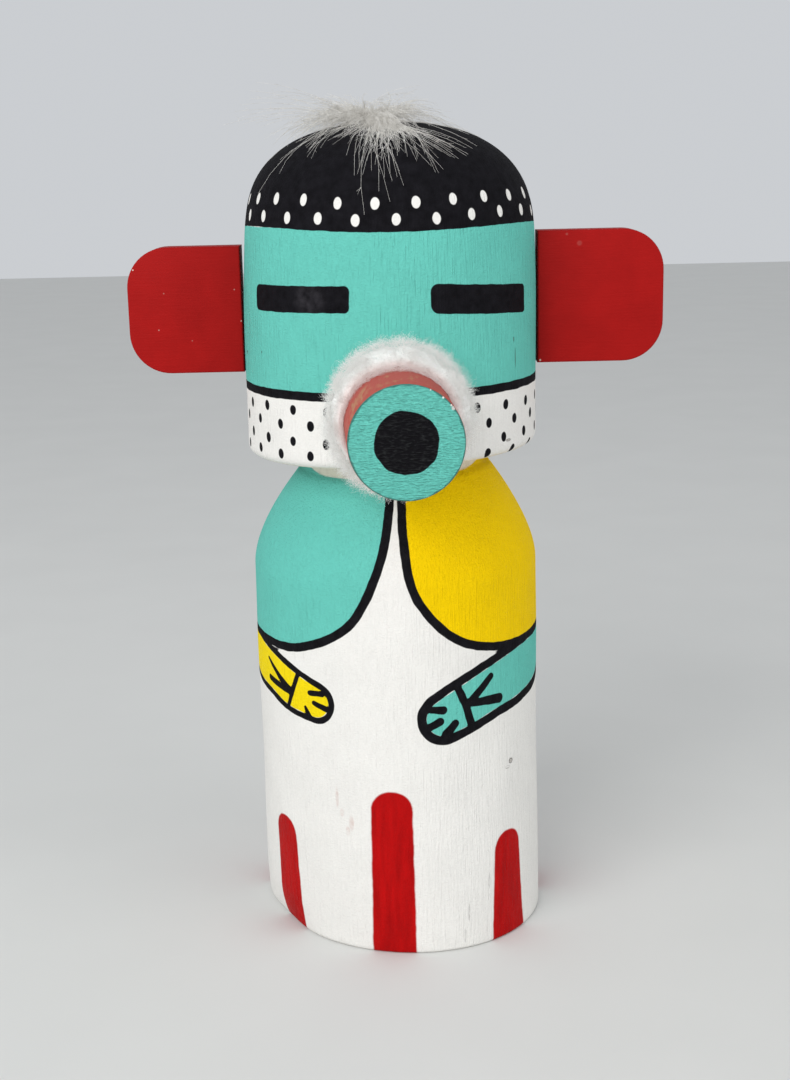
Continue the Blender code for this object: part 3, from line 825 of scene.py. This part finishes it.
def make_snout_side_material():
    """Thin pink-red paint dragged along the dowel, so that bare wood shows in streaks."""
    material, tree, where = new_material("acrylic on dowel side")
    # Streaks of the brush are about 1.4 mm wide and 7 mm long
    streak = spread(tree, where, 0.8, 4.0, 0.0, 1.0, (1.8, 9.0, 1.8))
    patch = spread(tree, where, 7.0, 2.0, 0.0, 1.0)
    depth = SNOUT_WEAR_DEPTH - HEAD_RADIUS - SNOUT_LENGTH
    place = on_snout(SNOUT_WEAR_TURN, depth, SNOUT_RADIUS) * MM
    thin = weighted(tree, patch, (mark_at(tree, where, place, SNOUT_WEAR_HALF), 0.6))
    worn = add(tree, "Math", {0: streak, 1: thin}, operation="MULTIPLY")
    bare = {"Value": worn, "From Min": 0.30, "From Max": 0.80, "To Max": 0.55}
    worn = add(tree, "MapRange", bare)
    colour = coats(tree, linear(SNOUT_PINK), (linear(BARE_WOOD), worn))
    relief = spread(tree, where, 0.5, 3.0, -1.0, 1.0, (1.0, 12.0, 1.0))
    return close_material(material, colour, 0.55, relief, 0.6, 0.14)


def make_snout():
    """The dowel snout: a fine cylinder with an eased rim, coped to the face."""
    front = HEAD_RADIUS + SNOUT_LENGTH
    bm = bmesh.new()
    bmesh.ops.create_cone(bm, cap_ends=True, segments=144, radius1=SNOUT_RADIUS,
                          radius2=SNOUT_RADIUS, depth=SNOUT_LENGTH)
    bmesh.ops.rotate(bm, verts=bm.verts, matrix=Matrix.Rotation(math.pi / 2.0, 3, "X"))
    bmesh.ops.translate(bm, verts=bm.verts, vec=(0.0, -front + SNOUT_LENGTH / 2.0, 0.0))
    rim = [edge for edge in bm.edges if all(vert.co.y < -front + 0.01 for vert in edge.verts)]
    round_edges(bm, rim, SNOUT_EDGE, 3)
    for vert in bm.verts:
        vert.co.x += snout_axis_x(vert.co.y)
        if vert.co.y > -HEAD_RADIUS - 0.01:
            vert.co.y = face_y(vert.co.x, JOINT_GAP)
    for face in bm.faces:
        face.material_index = 0 if face.normal.y < -0.3 else 1
    bmesh.ops.translate(bm, verts=bm.verts, vec=(0.0, 0.0, SNOUT_LEVEL))
    bmesh.ops.scale(bm, verts=bm.verts, vec=(MM, MM, MM))
    piece = object_from(bm, "dowel_snout", make_snout_end_material())
    piece.data.materials.append(make_snout_side_material())
    finish_piece(piece, "snout_paint", "snout")


def strands_to_piece(name, strands, material):
    """Turn fine strands, lists of (place in mm, radius in mm), into one mesh piece."""
    curve = bpy.data.curves.new(name, "CURVE")
    curve.dimensions = "3D"
    curve.bevel_depth = MM
    curve.bevel_resolution = 0
    curve.use_fill_caps = True
    for strand in strands:
        spline = curve.splines.new("POLY")
        spline.points.add(len(strand) - 1)
        for point, (place, radius) in zip(spline.points, strand):
            point.co = (place.x * MM, place.y * MM, place.z * MM, 1.0)
            point.radius = radius
    holder = link_object(name + "_curve", curve)
    bpy.context.view_layer.update()
    evaluated = holder.evaluated_get(bpy.context.evaluated_depsgraph_get())
    mesh = bpy.data.meshes.new_from_object(evaluated)
    bpy.data.objects.remove(holder, do_unlink=True)
    mesh.name = name
    mesh.materials.clear()
    mesh.materials.append(material)
    mesh.shade_smooth()
    return link_object(name, mesh)


def make_fibre_material(name, colour, shadow, patch_mm, pink_stain_and_bounce=False):
    """Dry white fibre: no gloss, cloudy in patches, and given a painted glow for the light that
    scatters in it.
    """
    material, tree, where = new_material(name)
    patch = spread(tree, where, patch_mm, 3.0, 0.0, 1.0)
    # The nap is as coarse as a small bundle of fibres, because one fibre is too fine to show
    nap = spread(tree, where, 0.6, 4.0, -1.0, 1.0)
    tint = coats(tree, linear(colour), (linear(shadow), patch))
    # Near the snout the wool turns pink: partly a stain, partly painted bounce light off the pink snout
    if pink_stain_and_bounce:
        out = from_snout_line(tree, where, -HEAD_RADIUS - 0.5 * WOOL_DEPTH)
        near = {"Value": out, "From Min": SNOUT_RADIUS + WOOL_PINK_STAIN_AND_BOUNCE_REACH,
                "From Max": SNOUT_RADIUS, "To Max": 0.5}
        stain_and_bounce_share = add(tree, "MapRange", near)
        tint = coats(tree, tint, (linear(WOOL_PINK_STAIN_AND_BOUNCE), stain_and_bounce_share))
    # Painted glow: the emission stands in for light scattered among the fibres
    more = {"Sheen Weight": 0.3, "Sheen Roughness": 0.8, "Emission Color": tint,
            "Emission Strength": FIBRE_GLOW}
    return close_material(material, tint, 1.0, nap, 0.8, 0.3, more)


def wool_spot(turn, angle, swell=1.0):
    """A place on the wool's skin: turn round the snout, angle from front to outside."""
    side_share = math.cos(turn) ** 2
    reach = WOOL_SIDE_REACH * side_share + WOOL_TOP_REACH * (1.0 - side_share)
    reach *= 1.0 - WOOL_THIN * max(0.0, math.cos(turn - WOOL_THIN_TURN)) ** 2
    reach *= 1.0 + WOOL_BULGE * max(0.0, math.cos(turn - WOOL_BULGE_TURN)) ** 6
    out = math.sin(angle) if angle < 0.5 * math.pi else 1.0 + 0.12 * math.cos(angle)
    forward = 0.52 + 0.48 * math.cos(angle)
    radius = SNOUT_RADIUS + JOINT_GAP + reach * 0.94 * max(out, 0.0) * swell
    spot = on_snout(turn, -HEAD_RADIUS - WOOL_DEPTH * forward, radius)
    spot.y = face_y(spot.x, JOINT_GAP) - WOOL_DEPTH * forward * swell
    return spot


def wool_heart(turn):
    """The middle of the wool's section, from which its fibres point away."""
    return wool_spot(turn, 0.8, 0.4)


def stray(rng, size):
    """A random vector whose parts are mostly within a size of nought."""
    return Vector([rng.gauss(0.0, size) for _ in range(3)])


def make_wool_core(material):
    """The body of the wool: a soft lumpy wedge that hugs the snout's root."""
    bm = bmesh.new()
    rings = []
    for turn_step in range(WOOL_TURNS):
        turn = 2.0 * math.pi * turn_step / WOOL_TURNS
        loop = []
        for step in range(WOOL_LOOP + 1):
            angle = math.pi * step / WOOL_LOOP
            share = WOOL_CORE_SHARE - WOOL_CORE_DROP * max(0.0, -math.sin(turn))
            spot = wool_spot(turn, angle, share)
            away = (spot - wool_heart(turn)).normalized()
            lump = sum(high * noise.noise(spot / wide) for high, wide in WOOL_LUMPS) - WOOL_SINK
            loop.append(bm.verts.new((spot + away * lump) * MM))
        inner = on_snout(turn, -HEAD_RADIUS, SNOUT_RADIUS + JOINT_GAP)
        inner.y = face_y(inner.x, JOINT_GAP)
        loop.append(bm.verts.new(inner * MM))
        pairs = zip(loop, loop[1:] + loop[:1])
        rings.append([bm.edges.new(pair) for pair in pairs])
    for ring, following in zip(rings, rings[1:] + rings[:1]):
        bmesh.ops.bridge_loops(bm, edges=ring + following)
    return object_from(bm, "wool_core", material, 180.0)


def wool_lock(rng, lean, low_angle, reach, thickness):
    """A lock of fine curly fibres that start close together on the wool's skin."""
    turn = rng.uniform(0.0, 2.0 * math.pi)
    angle = math.pi * rng.uniform(low_angle, 1.0)
    around = Vector((-math.sin(turn), 0.0, math.cos(turn)))
    away = (wool_spot(turn, angle) - wool_heart(turn)).normalized()
    across = away.cross(around)
    head = around * rng.gauss(0.0, 1.0) + across * rng.gauss(0.0, 0.7)
    head = (head + away * rng.uniform(0.0, lean)).normalized()
    lock_curl = stray(rng, 0.6)
    strands = []
    for _ in range(WOOL_LOCK_FIBRES):
        own_turn = turn + rng.gauss(0.0, 0.06)
        own_angle = min(max(angle + rng.gauss(0.0, 0.14), 0.0), math.pi)
        spot = wool_spot(own_turn, own_angle, rng.uniform(0.66, 1.0))
        own_head = (head + stray(rng, 0.55)).normalized()
        curl = lock_curl + stray(rng, 0.5)
        length = rng.uniform(1.2, reach)
        strand = []
        for step in range(4):
            t = step / 3.0
            place = spot + own_head * length * t + curl * math.sin(2.8 * t)
            place.y = min(place.y, face_y(min(max(place.x, -45.0), 45.0), JOINT_GAP))
            strand.append((place, thickness * (1.0 - 0.5 * t)))
        strands.append(strand)
    return strands


def wool_wisp(rng):
    """A fibre that lies forward from the wool along the snout's side."""
    turn = rng.uniform(0.0, 2.0 * math.pi)
    start = WOOL_DEPTH * rng.uniform(0.62, 1.0)
    length = rng.uniform(1.5, 5.5) * rng.uniform(0.4, 1.0)
    twist = rng.gauss(0.0, 0.12)
    lift = rng.uniform(0.15, 1.3)
    strand = []
    for step in range(4):
        t = step / 3.0
        here = turn + twist * t
        radius = SNOUT_RADIUS + 0.1 + lift * (1.0 - t) + 0.5 * lift * math.sin(2.5 * t)
        y = face_y(radius * math.cos(here), JOINT_GAP) - start - length * t
        strand.append((on_snout(here, y, radius), WOOL_FIBRE_RADIUS * (1.5 - 0.7 * t)))
    return strand


def make_wool(rng):
    """The ring of raw wool: a lumpy core under thousands of fine curly fibres."""
    material = make_fibre_material("raw sheep wool", WOOL_WHITE, WOOL_SHADE, 1.7, True)
    finish_piece(make_wool_core(material), "wool", "wool_ruff")
    for name, lean, low_angle, reach, share in WOOL_LAYERS:
        thickness = WOOL_FIBRE_RADIUS * share
        locks = [wool_lock(rng, lean, low_angle, reach, thickness) for _ in range(WOOL_LOCKS)]
        strands = [strand for lock in locks for strand in lock]
        finish_piece(strands_to_piece(name, strands, material), "wool", "wool_ruff")
    wisps = [wool_wisp(rng) for _ in range(WOOL_WISPS)]
    finish_piece(strands_to_piece("wool_wisps", wisps, material), "wool", "wool_ruff")


def clear_of_crown(place, gap):
    """Push a place out to at least a gap above the crown."""
    up = max(place.z - CROWN_BOTTOM, 0.0)
    across = math.hypot(place.x, place.y)
    size = (across / HEAD_RADIUS) ** CROWN_POWER + (up / CROWN_HEIGHT) ** CROWN_POWER
    grow = (1.0 + gap / HEAD_RADIUS) * size ** (-1.0 / CROWN_POWER)
    if grow <= 1.0:
        return place
    return Vector((place.x * grow, place.y * grow, CROWN_BOTTOM + (place.z - CROWN_BOTTOM) * grow))


def down_hair(root, azimuth, elevation, length, droop, bend, phase):
    """One hair of down; it droops, bends aside, waves and keeps off the crown."""
    flat = Vector((math.sin(azimuth), -math.cos(azimuth), 0.0))
    side = Vector((math.cos(azimuth), math.sin(azimuth), 0.0))
    head = flat * math.cos(elevation) + Vector((0.0, 0.0, math.sin(elevation)))
    hair = []
    for step in range(DOWN_STEPS + 1):
        t = step / DOWN_STEPS
        wave = 0.055 * length * t * math.sin(5.5 * t + phase)
        place = root + head * length * t + side * (bend * length * t * t + wave)
        place.z -= droop * length * t * t
        place = clear_of_crown(place, DOWN_GAP + 0.3 * (1.0 - t))
        hair.append((place, DOWN_HAIR_RADIUS - DOWN_HAIR_TAPER * t))
    return hair


def down_lock(rng, hairs, azimuth, elevation, length, droop, bend):
    """A lock of down: hairs that share a root and a sweep and part towards their tips."""
    outward = Vector((math.sin(azimuth), -math.cos(azimuth), 0.0))
    root = DOWN_ROOT + outward * rng.uniform(0.0, DOWN_ROOT_REACH)
    root += Vector((rng.gauss(0.0, 1.5), rng.gauss(0.0, 1.0), rng.gauss(0.0, 0.7)))
    phase = rng.uniform(0.0, 6.3)
    lock = []
    for _ in range(hairs):
        own_root = root + stray(rng, 0.35)
        own_azimuth = azimuth + rng.gauss(0.0, 0.12)
        own_elevation = elevation + rng.gauss(0.0, 0.10)
        lock.append(down_hair(own_root, own_azimuth, own_elevation, length * rng.uniform(0.55, 1.05),
                              droop * rng.uniform(0.85, 1.15), bend + rng.gauss(0.0, 0.12),
                              phase + rng.gauss(0.0, 0.9)))
    return lock


def barbs_on(rng, hair):
    """Short soft barbs along one hair."""
    barbs = []
    for _ in range(BARBS_PER_HAIR):
        at = rng.randrange(1, len(hair) - 1)
        start = hair[at][0]
        ahead = (hair[at + 1][0] - start).normalized()
        head = (stray(rng, 0.6) + ahead).normalized()
        reach = BARB_LENGTH * rng.uniform(0.5, 1.2)
        bend = Vector((rng.gauss(0.0, 0.3), rng.gauss(0.0, 0.3), -0.2))
        barb = []
        for t in (0.0, 0.5, 1.0):
            place = clear_of_crown(start + head * reach * t + bend * t * t, DOWN_GAP)
            barb.append((place, BARB_RADIUS - BARB_TAPER * t))
        barbs.append(barb)
    return barbs


def down_hairs(rng):
    """Every hair of the tuft, fan by fan and lock by lock, and a few strays."""
    hairs = []
    for locks, each, azimuth, fan, elevation, shortest, longest, droop, bend in DOWN_FANS:
        for _ in range(locks):
            aim = math.radians(rng.gauss(azimuth, fan))
            lift = math.radians(rng.gauss(elevation, 10.0))
            length = rng.uniform(shortest, longest)
            own_droop = droop * rng.uniform(0.7, 1.3)
            hairs += down_lock(rng, each, aim, lift, length, own_droop, rng.gauss(0.0, bend))
    for azimuth, elevation, length, droop, bend in DOWN_STRAYS:
        aim, lift = math.radians(azimuth), math.radians(elevation)
        hairs.append(down_hair(DOWN_ROOT, aim, lift, length, droop, bend, 0.0))
    return hairs


def make_down(rng):
    """The down tuft: fine hairs and their barbs from one knot, drooping over the crown."""
    material = make_fibre_material("white down", DOWN_WHITE, DOWN_SHADE, 2.2)
    hairs = down_hairs(rng)
    barbs = [barb for hair in hairs for barb in barbs_on(rng, hair)]
    finish_piece(strands_to_piece("down_hairs", hairs, material), "down", "feather_tuft")
    finish_piece(strands_to_piece("down_barbs", barbs, material), "down", "feather_tuft")


def make_studio():
    """Pale floor, soft light from the upper left, and the camera."""
    material, tree, where = new_material("matt studio paper")
    tone = spread(tree, where, 60.0, 2.0, 0.97, 1.0)
    colour = add(tree, "VectorMath", {0: linear(STUDIO_GREY)[:3], 1: tone}, operation="MULTIPLY")
    shader = add(tree, "BsdfPrincipled", {"Base Color": colour, "Roughness": 0.9})
    add(tree, "OutputMaterial", {"Surface": shader})
    bm = bmesh.new()
    bmesh.ops.create_grid(bm, x_segments=2, y_segments=2, size=FLOOR_HALF)
    floor = object_from(bm, "studio_floor", material)

    world = bpy.data.worlds.new("studio")
    bpy.context.scene.world = world
    world.use_nodes = True
    back = world.node_tree.nodes["Background"]
    back.inputs["Color"].default_value = SKY
    back.inputs["Strength"].default_value = SKY_STRENGTH

    for name, place, size, power in LAMPS:
        lamp = bpy.data.lights.new(name, "AREA")
        lamp.shape = "DISK"
        lamp.size = size
        lamp.energy = power
        holder = link_object(name, lamp)
        holder.location = place
        aim = LAMP_AIM - holder.location
        holder.rotation_euler = aim.to_track_quat("-Z", "Y").to_euler()

    bpy.context.scene.view_settings.view_transform = "Standard"
    camera_data = bpy.data.cameras.new("camera")
    camera_data.sensor_fit = "VERTICAL"
    camera_data.sensor_height = SENSOR_HEIGHT
    camera_data.lens = SENSOR_HEIGHT * FOCAL_SHARE
    camera = link_object("camera", camera_data)
    turned = Matrix.Rotation(CAMERA_PITCH, 4, "X") @ Matrix.Rotation(CAMERA_ROLL, 4, "Z")
    camera.matrix_world = Matrix.Translation(CAMERA_PLACE) @ turned
    bpy.context.scene.camera = camera


def main():
    """Make every piece of the doll and the studio round it."""
    rng = random.Random(FIBRE_SEED)
    make_log()
    red = make_ear_material()
    make_ear("red_ear_left", "ear_left", -1.0, red)
    make_ear("red_ear_right", "ear_right", 1.0, red)
    make_snout()
    make_wool(rng)
    make_down(rng)
    make_studio()


main()
